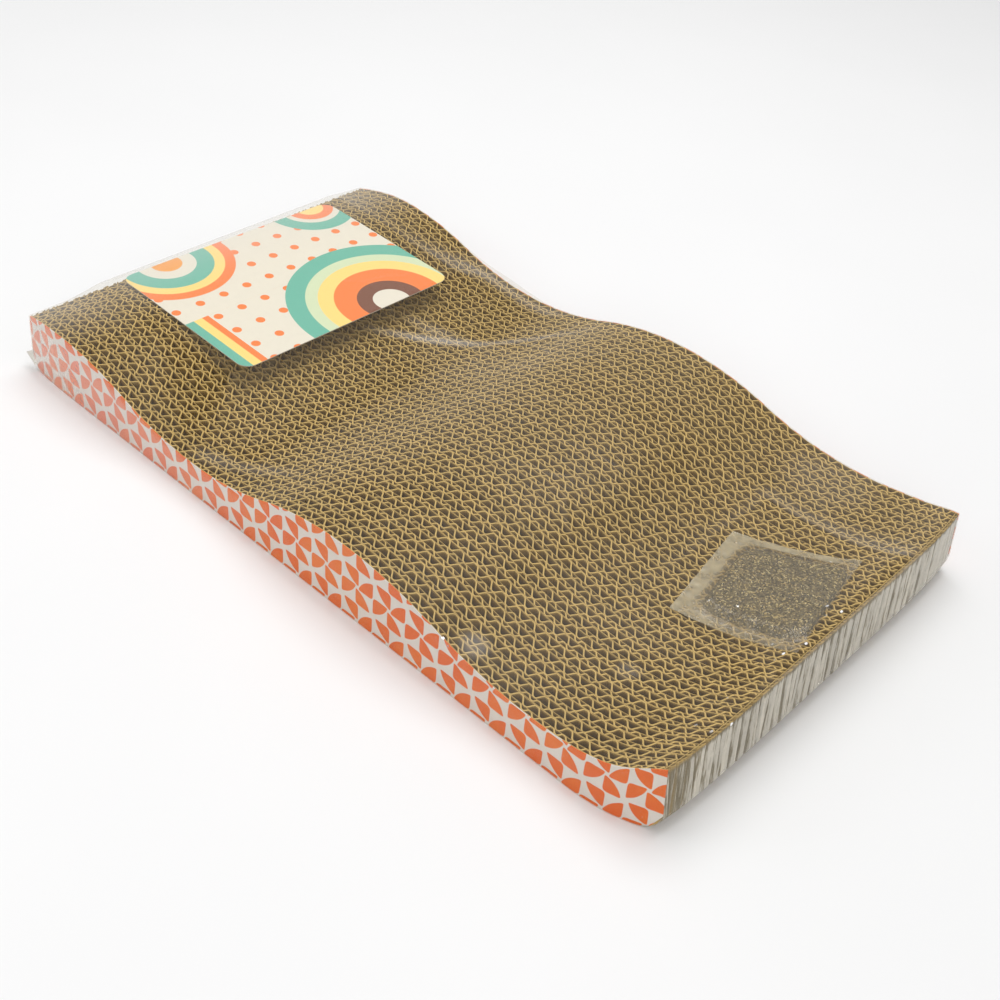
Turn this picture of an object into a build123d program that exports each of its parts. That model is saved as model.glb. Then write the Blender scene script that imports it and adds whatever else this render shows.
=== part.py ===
"""Wave-topped cat scratcher of corrugated strips on edge, with its printed card and catnip bag.

Millimetres. +X runs from the rear hump to the front edge, +Y from the near to the far printed side,
+Z up. The origin is the middle of the underside.
"""

from build123d import *
from math import cos, radians, sin
import os

# Corrugated block
body_length = 440.0
strip_count = 38
board_thickness = 6.5
glue_line = 0.06
facing_thickness = 0.33
lower_corner_radius = 10.0

# Wave along the top: heights above the block's base, at crests and troughs half_wave apart
half_wave = 113.0
rear_crest_inset = 34.0
rear_outer_trough_height = 18.5
rear_crest_height = 37.5
rear_trough_height = 19.5
mid_crest_height = 40.0
front_trough_height = 22.5
front_outer_crest_height = 42.0

# Printed card, flat, tangent to the front flank of the rear crest
card_length = 110.0
card_width = 150.0
card_thickness = 0.5
card_corner_radius = 7.0
card_tilt = 2.3
card_lead = 22.5
card_y = 7.0
seat_gap = 0.3

# Catnip bag, draped over the front dip
bag_length = 60.0
bag_width = 75.0
bag_lead = 23.5
bag_y = 9.5
bag_turn = 11.5
bag_web = 0.2
seal_line = 0.05
bag_corner_radius = 2.0
fill_length = 49.0
fill_width = 57.0
fill_thickness = 3.6
fill_shift = 4.5
fill_corner_radius = 5.0
fill_gap = 0.2

# Places worked out from the sizes above
strip_pitch = board_thickness + glue_line
facing_pitch = facing_thickness + glue_line
body_width = strip_count * strip_pitch - glue_line + 2 * facing_pitch
near_side = -body_width / 2
rear_crest_x = rear_crest_inset - body_length / 2
front_trough_x = rear_crest_x + 3 * half_wave
bag_x = front_trough_x + bag_lead
wave_points = [
    (rear_crest_x - half_wave, rear_outer_trough_height),
    (rear_crest_x, rear_crest_height),
    (rear_crest_x + half_wave, rear_trough_height),
    (rear_crest_x + 2 * half_wave, mid_crest_height),
    (front_trough_x, front_trough_height),
    (front_trough_x + half_wave, front_outer_crest_height),
]
# A longer block carries the last trough and crest on to its front end
while wave_points[-1][0] < body_length / 2:
    wave_points.append((wave_points[-1][0] + half_wave, wave_points[-2][1]))


def half_wave_radius(high, low):
    """Radius of the two tangent arcs that join a crest to the next trough."""
    return ((half_wave / 2) ** 2 + ((high - low) / 2) ** 2) / (high - low)


def side_plane(y):
    """Upright plane along the block at y, with height as its second axis."""
    return Plane.XZ.offset(-y)


def wave_face(lift=0.0):
    """Everything below the wave, raised by lift, as a sketch in a side plane."""
    points = [(x, z + lift) for x, z in wave_points]
    with BuildSketch() as face:
        with BuildLine():
            for (x0, z0), (x1, z1) in zip(points, points[1:]):
                inflection = ((x0 + x1) / 2, (z0 + z1) / 2)
                TangentArc((x0, z0), inflection, tangent=(1, 0))
                TangentArc((x1, z1), inflection, tangent=(-1, 0))
            Polyline(points[-1], (points[-1][0], 0), (points[0][0], 0), points[0])
        make_face()
    return face.sketch


def board_outline():
    """Side outline of the block: the wave on top, square ends and rounded lower corners."""
    with BuildSketch() as outline:
        add(wave_face())
        Rectangle(body_length, body_length, align=(Align.CENTER, Align.MIN), mode=Mode.INTERSECT)
        fillet(outline.vertices().group_by(Axis.Y)[0], lower_corner_radius)
    return outline.sketch


def write_piece(piece, name):
    """Labels a finished piece and writes it to its own file."""
    piece.part.label = name
    export_step(piece.part, f"parts/{name}.step")
    print(f"{name}: {piece.part.volume:.1f} mm3")


def make_board_slice(outline, y_low, thickness, name):
    """One upright slice of the block, from y_low towards the far side."""
    with BuildPart() as piece:
        with BuildSketch(side_plane(y_low + thickness)):
            add(outline)
        extrude(amount=thickness)
    write_piece(piece, name)


def card_seat():
    """Plane that the card's underside lies in, just clear of the rear crest where it would touch."""
    tilt = radians(card_tilt)
    radius = half_wave_radius(rear_crest_height, rear_trough_height)
    touch = Vector(rear_crest_x + radius * sin(tilt), card_y,
                   rear_crest_height - radius * (1 - cos(tilt)))
    normal = Vector(sin(tilt), 0, cos(tilt))
    return Plane(origin=touch + normal * seat_gap, x_dir=(cos(tilt), 0, -sin(tilt)), z_dir=normal)


def make_label_card():
    """Flat card with round corners, resting on the rear crest and overhanging the dip in front of it."""
    with BuildPart() as card:
        with BuildSketch(card_seat()):
            with Locations((card_lead, 0)):
                RectangleRounded(card_length, card_width, card_corner_radius)
        extrude(amount=card_thickness)
    write_piece(card, "label_card")


def bag_layer(low, high, outline):
    """Part of a sheet that follows the wave between two lifts, cut to an upright column."""
    with BuildPart() as layer:
        with BuildSketch(side_plane(body_width / 2)):
            add(wave_face(high))
            add(wave_face(low), mode=Mode.SUBTRACT)
        extrude(amount=body_width)
        with BuildSketch(Plane.XY):
            add(outline)
        extrude(amount=body_length, mode=Mode.INTERSECT)
    return layer.part


def bag_outline(length, width, radius, shift=0.0):
    """Plan outline turned to the way the bag lies, moved by shift towards the bag's folded edge."""
    with BuildSketch() as outline:
        with Locations(Location((bag_x, bag_y, 0), (0, 0, bag_turn))):
            with Locations((shift, 0)):
                RectangleRounded(length, width, radius)
    return outline.sketch


def make_catnip_bag():
    """Two thin webs sealed round a flat bed of catnip."""
    web_top = seat_gap + bag_web
    front_low = web_top + seal_line
    fill_low = web_top + fill_gap
    fill_high = fill_low + fill_thickness
    bag = bag_outline(bag_length, bag_width, bag_corner_radius)
    fill = bag_outline(fill_length, fill_width, fill_corner_radius, fill_shift)
    room = bag_outline(fill_length + 2 * fill_gap, fill_width + 2 * fill_gap,
                       fill_corner_radius + fill_gap, fill_shift)
    cover_growth = fill_gap + bag_web
    cover = bag_outline(fill_length + 2 * cover_growth, fill_width + 2 * cover_growth,
                        fill_corner_radius + cover_growth, fill_shift)
    with BuildPart() as back_web:
        add(bag_layer(seat_gap, web_top, bag))
    write_piece(back_web, "sachet_back_web")
    with BuildPart() as catnip:
        add(bag_layer(fill_low, fill_high, fill))
    write_piece(catnip, "catnip_fill")
    with BuildPart() as front_web:
        add(bag_layer(front_low, front_low + bag_web, bag))
        add(bag_layer(front_low, fill_high + cover_growth, cover))
        add(bag_layer(0, fill_high + fill_gap, room), mode=Mode.SUBTRACT)
    write_piece(front_web, "sachet_front_web")


os.makedirs("parts", exist_ok=True)
profile_sketch = board_outline()
make_board_slice(profile_sketch, near_side, facing_thickness, "printed_facing_near")
for index in range(strip_count):
    make_board_slice(profile_sketch, near_side + facing_pitch + index * strip_pitch, board_thickness,
                     f"board_strip_{index + 1:02d}")
make_board_slice(profile_sketch, -near_side - facing_thickness, facing_thickness, "printed_facing_far")
make_label_card()
make_catnip_bag()
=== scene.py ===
"""Looks of the wave-topped cat scratcher: fluted board strips, printed sides, card, catnip bag and film.

Metres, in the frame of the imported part: +X runs from the rear hump to the front edge, +Y from the near
to the far printed side, +Z up.
"""

import logging
import math
import random
from dataclasses import dataclass, field
from enum import Enum
from typing import Any, Callable, Mapping, Sequence

import bmesh
import bpy
from bmesh.types import BMesh, BMVert
from bpy.types import Material, Node, NodeSocket, NodeTree, Object
from mathutils import Matrix, Vector, noise


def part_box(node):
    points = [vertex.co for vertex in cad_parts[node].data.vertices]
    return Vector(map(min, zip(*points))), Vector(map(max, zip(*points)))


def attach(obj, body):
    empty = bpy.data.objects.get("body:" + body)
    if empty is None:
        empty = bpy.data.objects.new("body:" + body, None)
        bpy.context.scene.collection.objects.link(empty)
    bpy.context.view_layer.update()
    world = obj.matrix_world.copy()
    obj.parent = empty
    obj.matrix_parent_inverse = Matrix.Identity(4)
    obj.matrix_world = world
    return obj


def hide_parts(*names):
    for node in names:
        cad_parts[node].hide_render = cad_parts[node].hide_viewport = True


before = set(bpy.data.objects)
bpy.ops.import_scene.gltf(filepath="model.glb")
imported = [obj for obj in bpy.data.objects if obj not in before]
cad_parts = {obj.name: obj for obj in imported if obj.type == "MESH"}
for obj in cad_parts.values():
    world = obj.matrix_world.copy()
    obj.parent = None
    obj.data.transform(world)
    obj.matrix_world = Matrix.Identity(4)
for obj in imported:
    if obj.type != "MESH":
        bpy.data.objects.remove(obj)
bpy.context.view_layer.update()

MM = 0.001
SHARP_ANGLE = math.radians(40)
LOG = logging.getLogger("cat_scratcher")
WHITE = (1.0, 1.0, 1.0, 1.0)

Value = float | Sequence[float] | NodeSocket
PlanLine = list[tuple[float, float]]


class Body(Enum):
    """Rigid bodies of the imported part."""

    BLOCK = "block"
    CARD = "card"
    SACHET = "sachet"


class Slot(Enum):
    """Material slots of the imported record."""

    BOARD = "corrugated_board"
    PRINT = "printed_paper"
    LABEL = "label_board"
    FILM = "clear_film"
    CATNIP = "dried_catnip"


class Side(Enum):
    """The two long printed sides, by the direction that each faces along Y."""

    NEAR = -1
    FAR = 1


def srgb(red: int, green: int, blue: int) -> tuple[float, float, float, float]:
    """Turns a display colour into the linear colour that a shader takes.

    Args:
        red: Red from 0 to 255.
        green: Green from 0 to 255.
        blue: Blue from 0 to 255.

    Returns:
        Linear red, green and blue with an alpha of 1.
    """
    def linear(level: int) -> float:
        """Undoes the display curve of one channel."""
        share = level / 255
        return share / 12.92 if share <= 0.04045 else ((share + 0.055) / 1.055) ** 2.4

    return linear(red), linear(green), linear(blue), 1.0


def ease(share: float) -> float:
    """Smooth step from 0 to 1, flat at both ends."""
    share = min(max(share, 0.0), 1.0)
    return share * share * (3 - 2 * share)


def wander(place: float, seed: float) -> float:
    """Slow random walk from -1 to 1 along one length, the same on each run."""
    return noise.noise(Vector((place, seed, 0.37)))


@dataclass(frozen=True)
class BlockForm:
    """Outer form of the corrugated block, with the pull of the taut film on its soft ends."""

    half_length: float = 220 * MM
    half_width: float = 125 * MM
    lower_radius: float = 10 * MM
    half_wave: float = 113 * MM
    rear_crest_x: float = -186 * MM
    heights: tuple[float, ...] = (18.5 * MM, 37.5 * MM, 19.5 * MM, 40 * MM, 22.5 * MM, 42 * MM)
    front_side_pull: tuple[float, float] = (10 * MM, 7.5 * MM)
    front_pull_reach: float = 45 * MM
    rear_side_pull: tuple[float, float] = (1.5 * MM, 7 * MM)
    rear_pull_reach: float = 40 * MM
    rear_skew: float = 2.8 * MM
    edge_pull: float = 3.5 * MM
    front_corner_pull: float = 3 * MM
    edge_pull_reach: float = 30 * MM
    corner_power: int = 6

    def wave(self, x: float) -> float:
        """Height of the wave at x.

        Args:
            x: Place along the block.

        Returns:
            Height above the underside, on the arc of the nearer crest or trough.
        """
        span = (x - self.rear_crest_x) / self.half_wave + 1
        index = min(max(int(span), 0), len(self.heights) - 2)
        start, end = self.heights[index], self.heights[index + 1]
        rise = abs(end - start) / 2
        run = self.half_wave / 2
        radius = (run ** 2 + rise ** 2) / (2 * rise)
        away = (span - index) * self.half_wave
        nearest, other = start, end
        if away > run:
            away = self.half_wave - away
            nearest, other = end, start
        sagitta = radius - math.sqrt(radius ** 2 - away ** 2)
        return nearest + math.copysign(sagitta, other - nearest)

    def underside(self, x: float) -> float:
        """Height of the underside, which turns up at the rounded lower corners.

        Args:
            x: Place along the block.

        Returns:
            Height above the floor.
        """
        into_corner = abs(x) - (self.half_length - self.lower_radius)
        if into_corner <= 0:
            return 0.0
        into_corner = min(into_corner, self.lower_radius)
        return self.lower_radius - math.sqrt(self.lower_radius ** 2 - into_corner ** 2)

    def pulled(self, point: Vector) -> Vector:
        """Moves a point of the straight block to where the film's pull leaves it.

        Args:
            point: A point of the block as it was cut.

        Returns:
            The point drawn in at the ends, towards the middle of the block.
        """
        x, y, z = point
        front = max((x - self.half_length + self.front_pull_reach) / self.front_pull_reach, 0.0)
        rear = max((-x - self.half_length + self.rear_pull_reach) / self.rear_pull_reach, 0.0)
        side = 0 if y < 0 else 1
        side_pull = self.front_side_pull[side] * front ** 2 + self.rear_side_pull[side] * rear ** 2
        end = ease((abs(x) - self.half_length + self.edge_pull_reach) / self.edge_pull_reach)
        climb = max(z - self.lower_radius, 0) / (max(self.heights) - self.lower_radius)
        across = y / self.half_width
        corner = min(abs(across), 1.0) ** self.corner_power
        end_pull = self.edge_pull * climb
        end_pull += self.front_corner_pull * corner if x > 0 else -self.rear_skew * across
        return Vector((x - math.copysign(end * end_pull, x), y * (1 - side_pull / self.half_width), z))

    def pulled_wave(self, x: float, y: float) -> float:
        """Height of the wave at a place of the block once the film has drawn its ends in.

        Args:
            x: Place along the block.
            y: Place across it.

        Returns:
            Height above the underside.
        """
        drawn_in = x - self.pulled(Vector((x, y, self.wave(x)))).x
        return self.wave(x + drawn_in)


FORM = BlockForm()


class NodeSheet:
    """Adds and links the nodes of one tree."""

    def __init__(self, tree: NodeTree) -> None:
        """Starts on a tree that may already hold nodes."""
        self.tree = tree

    def feed(self, socket: NodeSocket, value: Value) -> None:
        """Links a socket to another one, or sets its own value.

        Args:
            socket: The input to feed.
            value: The output to link to it, or the value that it is to hold.
        """
        if isinstance(value, NodeSocket):
            self.tree.links.new(value, socket)
        else:
            socket.default_value = value

    def add(self, kind: str, sockets: Mapping[str | int, Value] | None = None, **settings: Any) -> Node:
        """Adds one node.

        Args:
            kind: The node's type name.
            sockets: Values or links for its inputs, by name or number.
            **settings: Properties of the node itself.

        Returns:
            The new node.
        """
        node = self.tree.nodes.new(kind)
        for name, value in settings.items():
            setattr(node, name, value)
        for key, value in (sockets or {}).items():
            self.feed(node.inputs[key], value)
        return node

    def math(self, operation: str, *values: Value, clamp: bool = False) -> NodeSocket:
        """Result of one Math node on up to three values."""
        node = self.add("ShaderNodeMath", dict(enumerate(values)), operation=operation, use_clamp=clamp)
        return node.outputs[0]

    def vector_math(self, operation: str, *values: Value) -> Node:
        """One Vector Math node on up to three vectors."""
        return self.add("ShaderNodeVectorMath", dict(enumerate(values)), operation=operation)

    def mix(self, factor: Value, first: Value, second: Value, blend: str = "MIX") -> NodeSocket:
        """Colour between two colours.

        Args:
            factor: Share of the second colour.
            first: Colour at a factor of 0.
            second: Colour at a factor of 1.
            blend: How the second colour is laid over the first.

        Returns:
            The mixed colour's socket.
        """
        node = self.add("ShaderNodeMix", {0: factor, 6: first, 7: second}, data_type="RGBA", blend_type=blend)
        return node.outputs[2]

    def span(self, value: Value, low: float, high: float, to_low: float = 0.0,
             to_high: float = 1.0) -> NodeSocket:
        """Smooth change from one level to another as a value crosses a range.

        Args:
            value: The value that changes.
            low: Where the change starts.
            high: Where it ends.
            to_low: Level before the change.
            to_high: Level after it.

        Returns:
            The level's socket.
        """
        node = self.add("ShaderNodeMapRange", {"Value": value, "From Min": low, "From Max": high,
                                               "To Min": to_low, "To Max": to_high},
                        interpolation_type="SMOOTHSTEP")
        return node.outputs[0]

    def noise(self, vector: Value, scale: float, detail: float = 3.0, rough: float = 0.5) -> NodeSocket:
        """Grey noise of a given scale, from 0 to 1."""
        node = self.add("ShaderNodeTexNoise", {"Vector": vector, "Scale": scale, "Detail": detail,
                                               "Roughness": rough})
        return node.outputs[0]

    def place(self) -> NodeSocket:
        """Object coordinates."""
        return self.add("ShaderNodeTexCoord").outputs["Object"]

    def attribute(self, name: str) -> NodeSocket:
        """Value of one of the piece's own attributes."""
        return self.add("ShaderNodeAttribute", attribute_name=name).outputs["Fac"]

    def axis(self, vector: Value, name: str) -> NodeSocket:
        """One coordinate of a vector."""
        return self.add("ShaderNodeSeparateXYZ", {0: vector}).outputs[name]

    def stretched(self, vector: Value, scale: Sequence[float]) -> NodeSocket:
        """Coordinates scaled along each axis."""
        return self.vector_math("MULTIPLY", vector, scale).outputs[0]

    def swing(self, value: Value, depth: Value) -> NodeSocket:
        """Swing of a value about a half, deepened."""
        return self.math("MULTIPLY", self.math("SUBTRACT", value, 0.5), depth)

    def grey(self, level: Value) -> NodeSocket:
        """Grey of a given level."""
        return self.add("ShaderNodeCombineColor", {0: level, 1: level, 2: level}).outputs[0]

    def toned(self, colour: Value, level: Value) -> NodeSocket:
        """Colour made lighter or darker by a level."""
        return self.mix(1.0, colour, self.grey(level), "MULTIPLY")

    def bump(self, height: Value, distance: float, strength: float = 1.0) -> NodeSocket:
        """Normal of a surface with the given relief."""
        sockets = {"Height": height, "Distance": distance, "Strength": strength}
        return self.add("ShaderNodeBump", sockets).outputs[0]

    def surface(self, output: Node, sockets: Mapping[str | int, Value]) -> None:
        """Ends a material with one Principled shader."""
        shader = self.add("ShaderNodeBsdfPrincipled", sockets)
        self.feed(output.inputs["Surface"], shader.outputs[0])


def new_group(name: str, inputs: Mapping[str, str], outputs: Mapping[str, str],
              wire: Callable[[NodeSheet, Node, Node], None]) -> NodeTree:
    """Builds one shared effect as a node group.

    Args:
        name: Name of the group.
        inputs: Socket type of each named input.
        outputs: Socket type of each named output.
        wire: Fills the group between its input and output nodes.

    Returns:
        The finished group.
    """
    tree = bpy.data.node_groups.new(name, "ShaderNodeTree")
    for title, kind in inputs.items():
        tree.interface.new_socket(title, in_out="INPUT", socket_type=kind)
    for title, kind in outputs.items():
        tree.interface.new_socket(title, in_out="OUTPUT", socket_type=kind)
    sheet = NodeSheet(tree)
    wire(sheet, sheet.add("NodeGroupInput"), sheet.add("NodeGroupOutput"))
    return tree


VECTOR_SOCKET = "NodeSocketVector"
FLOAT_SOCKET = "NodeSocketFloat"
PINWHEEL_SIZES = ("Repeat", "Radius", "Setback", "Gap", "Overlap", "Rounding", "Tip")
INK_BLUR = 0.12 * MM


def wire_paper_fibre(sheet: NodeSheet, given: Node, result: Node) -> None:
    """Fills the group that gives paper its mottled tone and short fibres.

    Args:
        sheet: The group's nodes.
        given: Its input node.
        result: Its output node.
    """
    place = given.outputs["Vector"]
    mottle = sheet.noise(place, scale=260, detail=4)
    fibre = sheet.noise(sheet.stretched(place, (1.0, 1.0, 0.25)), scale=2600, detail=2, rough=0.7)
    tone = sheet.math("ADD", sheet.math("MULTIPLY", mottle, 0.55), sheet.math("MULTIPLY", fibre, 0.45))
    sheet.feed(result.inputs["Tone"], sheet.math("ADD", sheet.swing(tone, given.outputs["Amount"]), 1.0))
    sheet.feed(result.inputs["Height"], fibre)


def wire_film_crinkle(sheet: NodeSheet, given: Node, result: Node) -> None:
    """Fills the group that gives thin film its creases, cloudy patches and scattered painted glints.

    Args:
        sheet: The group's nodes.
        given: Its input node.
        result: Its output node.
    """
    scaled = sheet.vector_math("SCALE", given.outputs["Vector"])
    sheet.feed(scaled.inputs["Scale"], given.outputs["Scale"])
    place = scaled.outputs[0]
    warp = sheet.add("ShaderNodeTexNoise", {"Vector": place, "Scale": 0.7, "Detail": 2.0})
    bent = sheet.vector_math("ADD", place, warp.outputs["Color"]).outputs[0]
    cells = sheet.add("ShaderNodeTexVoronoi", {"Vector": bent, "Scale": 1.0}, feature="DISTANCE_TO_EDGE")
    crease = sheet.span(cells.outputs["Distance"], 0.0, 0.07, 1.0, 0.0)
    ripple = sheet.noise(bent, scale=1.6, detail=3)
    cloud = sheet.noise(place, scale=0.45, detail=3)
    sheet.feed(result.inputs["Crease"], crease)
    sheet.feed(result.inputs["Cloud"], sheet.span(cloud, 0.45, 0.75))
    sheet.feed(result.inputs["Height"], sheet.math("ADD", ripple, sheet.math("MULTIPLY", crease, 0.35)))
    # Glint: small random spots that mark where the film gets painted highlights.
    spread = sheet.stretched(given.outputs["Vector"], (1.0, 0.6, 0.8))
    sparks = sheet.add("ShaderNodeTexVoronoi", {"Vector": spread, "Scale": 260.0})
    lot = sheet.add("ShaderNodeSeparateColor", {0: sparks.outputs["Color"]}).outputs[0]
    chosen = sheet.span(lot, 0.5, 0.52)
    spot = sheet.span(sparks.outputs["Distance"], 0.1, 0.2, 1.0, 0.0)
    sheet.feed(result.inputs["Glint"], sheet.math("MULTIPLY", chosen, spot))


def wire_pinwheel(sheet: NodeSheet, given: Node, result: Node) -> None:
    """Fills the group that prints pinwheels of four rounded petals on a square repeat.

    Args:
        sheet: The group's nodes.
        given: Its input node.
        result: Its output node.
    """
    repeat, radius, setback, gap, overlap, rounding, tip = (given.outputs[name] for name in PINWHEEL_SIZES)
    half = sheet.math("MULTIPLY", repeat, 0.5)

    def folded(axis: str) -> NodeSocket:
        """Distance from the middle of the nearest pinwheel along one axis."""
        along = sheet.axis(given.outputs["Vector"], axis)
        return sheet.math("SUBTRACT", sheet.math("WRAP", along, repeat, 0.0), half)

    u, v = folded("X"), folded("Z")
    minus_u, minus_v = sheet.math("MULTIPLY", u, -1.0), sheet.math("MULTIPLY", v, -1.0)
    reach = sheet.math("MULTIPLY_ADD", gap, -0.5, half)
    depth = None
    for along, across in ((u, v), (v, minus_u), (minus_u, minus_v), (minus_v, u)):
        past_end = sheet.math("SUBTRACT", along, reach)
        past_foot = sheet.math("ADD", across, overlap)
        to_hub = sheet.math("SUBTRACT", past_end, setback)
        over_hub = sheet.math("ADD", past_foot, setback)
        arm = sheet.math("SQRT", sheet.math("ADD", sheet.math("MULTIPLY", to_hub, to_hub),
                                            sheet.math("MULTIPLY", over_hub, over_hub)))
        past_arc = sheet.math("SUBTRACT", arm, radius)
        past_sides = sheet.math("SMOOTH_MAX", past_end, sheet.math("MULTIPLY", past_foot, -1.0), rounding)
        petal = sheet.math("SMOOTH_MAX", past_arc, past_sides, tip)
        depth = petal if depth is None else sheet.math("MINIMUM", depth, petal)
    sheet.feed(result.inputs["Ink"], sheet.span(depth, -INK_BLUR, INK_BLUR, 1.0, 0.0))


class Effects:
    """Node groups that the finishes share."""

    def __init__(self) -> None:
        """Builds each group once."""
        self.paper_fibre = new_group("paper_fibre", {"Vector": VECTOR_SOCKET, "Amount": FLOAT_SOCKET},
                                     {"Tone": FLOAT_SOCKET, "Height": FLOAT_SOCKET}, wire_paper_fibre)
        self.film_crinkle = new_group("film_crinkle", {"Vector": VECTOR_SOCKET, "Scale": FLOAT_SOCKET},
                                      {"Crease": FLOAT_SOCKET, "Cloud": FLOAT_SOCKET, "Height": FLOAT_SOCKET,
                                       "Glint": FLOAT_SOCKET}, wire_film_crinkle)
        sizes = {name: FLOAT_SOCKET for name in PINWHEEL_SIZES}
        self.pinwheel = new_group("pinwheel_print", {"Vector": VECTOR_SOCKET} | sizes, {"Ink": FLOAT_SOCKET},
                                  wire_pinwheel)

    @staticmethod
    def use(sheet: NodeSheet, group: NodeTree, sockets: Mapping[str, Value]) -> Node:
        """Places one of the groups in a material.

        Args:
            sheet: The material's nodes.
            group: The group to place.
            sockets: Values or links for its inputs, by name.

        Returns:
            The group's node.
        """
        node = sheet.add("ShaderNodeGroup", node_tree=group)
        for key, value in sockets.items():
            sheet.feed(node.inputs[key], value)
        return node


def new_material(name: str) -> tuple[Material, NodeSheet, Node]:
    """Starts a material with nothing but its output.

    Args:
        name: Name of the material.

    Returns:
        The material, its node sheet and its output node.
    """
    material = bpy.data.materials.new(name)
    material.use_nodes = True
    material.node_tree.nodes.clear()
    sheet = NodeSheet(material.node_tree)
    return material, sheet, sheet.add("ShaderNodeOutputMaterial")


@dataclass(frozen=True)
class KraftBoard:
    """Brown corrugated paper with pale cut edges and greyed leaves at the pressed ends: the leaves' pale grey
    is partly painted reflection of the film, and they are painted darker towards their folds.
    """

    wall: tuple[float, ...] = srgb(152, 123, 66)
    cut: tuple[float, ...] = srgb(204, 174, 108)
    # leaf: pale grey of the pressed leaves, part paper colour and part painted reflection of the film;
    # leaf_shade: painted shade towards each leaf's fold, also the browner tone of the corner strips' leaves.
    leaf: tuple[float, ...] = srgb(216, 210, 198)
    leaf_shade: tuple[float, ...] = srgb(128, 116, 88)
    fibre_amount: float = 0.5
    fibre_relief: float = 0.05 * MM
    streak_stretch: tuple[float, float, float] = (0.2, 1.0, 0.06)
    streak_scale: float = 950.0
    streak_depth: float = 2.2

    def material(self, effects: Effects) -> Material:
        """Builds the finish.

        Args:
            effects: The shared node groups.

        Returns:
            The material.
        """
        material, sheet, output = new_material("kraft_board")
        place = sheet.place()
        fibre = Effects.use(sheet, effects.paper_fibre, {"Vector": place, "Amount": self.fibre_amount})
        # leaf_end runs from the leaf's tip down towards its fold: it gives the painted shade where the leaf
        # turns in.
        leaf_end = sheet.attribute("leaf_end")
        drawn_out = sheet.stretched(place, self.streak_stretch)
        streak = sheet.noise(drawn_out, self.streak_scale, detail=3, rough=0.6)
        # Here worn is the leaf's tone: painted shade from leaf_end plus random streaks.
        worn = sheet.math("ADD", leaf_end, sheet.swing(streak, self.streak_depth))
        leaf = sheet.mix(sheet.span(worn, 0.25, 0.8), self.leaf_shade, self.leaf)
        paper = sheet.mix(sheet.attribute("cut_edge"), self.wall, self.cut)
        normal = sheet.add("ShaderNodeNewGeometry").outputs["Normal"]
        end_side = sheet.vector_math("SIGN", place).outputs[0]
        out_facing = sheet.vector_math("MULTIPLY", normal, end_side).outputs[0]
        outward = sheet.span(sheet.axis(out_facing, "X"), 0.0, 0.2)
        pressed = sheet.math("MULTIPLY", sheet.span(leaf_end, 0.02, 0.3), outward)
        level = sheet.math("MULTIPLY", fibre.outputs["Tone"], sheet.attribute("tone"))
        sheet.surface(output, {
            "Base Color": sheet.toned(sheet.mix(pressed, paper, leaf), level), "Roughness": 0.85,
            "Specular IOR Level": 0.25,
            "Normal": sheet.bump(fibre.outputs["Height"], self.fibre_relief, 0.5)})
        return material


@dataclass(frozen=True)
class PrintedPaper:
    """Pale paper with a printed repeat of orange pinwheels."""

    paper: tuple[float, ...] = srgb(220, 214, 209)
    ink: tuple[float, ...] = srgb(225, 97, 0)
    ink_light: tuple[float, ...] = srgb(229, 114, 18)
    repeat: float = 20.6 * MM
    radius: float = 13.5 * MM
    setback: float = 3.6 * MM
    gap: float = 0.16 * MM
    overlap: float = 0.95 * MM
    rounding: float = 3.7 * MM
    tip: float = 1.7 * MM
    middle_x: float = 8.0 * MM
    middle_z: float = 0.8 * MM
    fibre_amount: float = 0.16
    fibre_relief: float = 0.02 * MM
    scuff_depth: float = 0.35

    def material(self, effects: Effects) -> Material:
        """Builds the finish.

        Args:
            effects: The shared node groups.

        Returns:
            The material.
        """
        material, sheet, output = new_material("printed_paper")
        place = sheet.place()
        half = self.repeat / 2
        flat = sheet.add("ShaderNodeCombineXYZ", {"X": sheet.attribute("along_sheet"),
                                                  "Z": sheet.axis(place, "Z")})
        corner = (self.middle_x - half, 0.0, self.middle_z - half)
        moved = sheet.vector_math("SUBTRACT", flat.outputs[0], corner).outputs[0]
        sizes = {name: getattr(self, name.lower()) for name in PINWHEEL_SIZES}
        print_mask = Effects.use(sheet, effects.pinwheel, {"Vector": moved} | sizes)
        fibre = Effects.use(sheet, effects.paper_fibre, {"Vector": place, "Amount": self.fibre_amount})
        patch = sheet.span(sheet.noise(place, scale=45, detail=4, rough=0.6), 0.35, 0.7)
        rubbed = sheet.noise(sheet.stretched(place, (1.0, 1.0, 0.35)), scale=900, detail=5, rough=0.75)
        scuff = sheet.math("MULTIPLY", sheet.span(rubbed, 0.62, 0.72), self.scuff_depth)
        worn = sheet.math("SUBTRACT", print_mask.outputs["Ink"], scuff, clamp=True)
        colour = sheet.mix(worn, self.paper, sheet.mix(patch, self.ink, self.ink_light))
        sheet.surface(output, {
            "Base Color": sheet.toned(colour, fibre.outputs["Tone"]),
            "Roughness": sheet.span(worn, 0.0, 1.0, 0.6, 0.48), "Specular IOR Level": 0.35,
            "Normal": sheet.bump(fibre.outputs["Height"], self.fibre_relief, 0.4)})
        return material


@dataclass(frozen=True)
class Arch:
    """One fan of printed rings on the card, as colours from the middle outwards."""

    middle: tuple[float, float]
    rings: tuple[tuple[float, tuple[float, ...]], ...]


CREAM = srgb(234, 228, 214)
TEAL = srgb(107, 185, 165)
MINT = srgb(215, 228, 192)
YELLOW = srgb(253, 222, 132)
ORANGE = srgb(247, 132, 60)
AMBER = srgb(245, 160, 30)
BROWN = srgb(120, 70, 45)


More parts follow.
